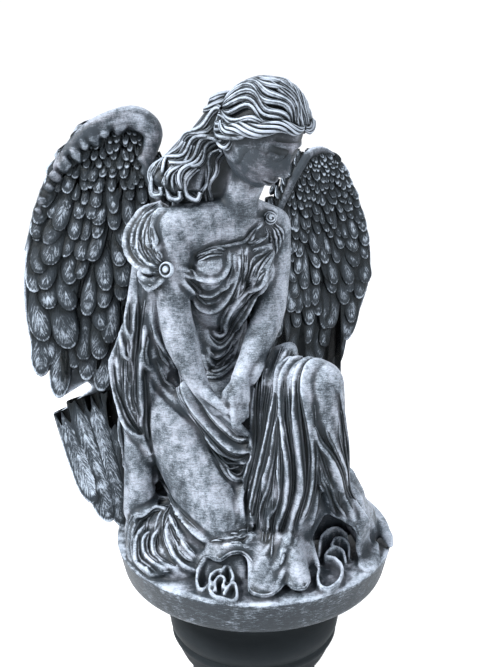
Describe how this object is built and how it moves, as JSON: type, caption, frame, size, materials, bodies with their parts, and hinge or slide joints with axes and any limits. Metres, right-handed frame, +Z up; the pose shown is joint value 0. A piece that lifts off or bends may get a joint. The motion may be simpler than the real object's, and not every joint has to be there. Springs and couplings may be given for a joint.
{
  "type": "cemetery angel statue",
  "caption": "Cast stone winged figure kneeling on one knee on a round base, standing on a turned pedestal.",
  "frame": {"origin": "centre of the pedestal's underside, on the ground", "axes": "+Z up the pedestal's axis, -Y towards the front of the statue, +X to the right as seen from the front"},
  "size_m": [0.5147, 0.3984, 0.9725],
  "materials": {
    "weathered_casting": "cast stone, charcoal ground with silvery blue-grey dry-brushed raised parts",
    "dark_casting": "cast stone, very dark green-grey, matt and weathered"
  },
  "bodies": {
    "root": {"angel": "weathered_casting", "pedestal": "dark_casting"}
  },
  "joints": []
}
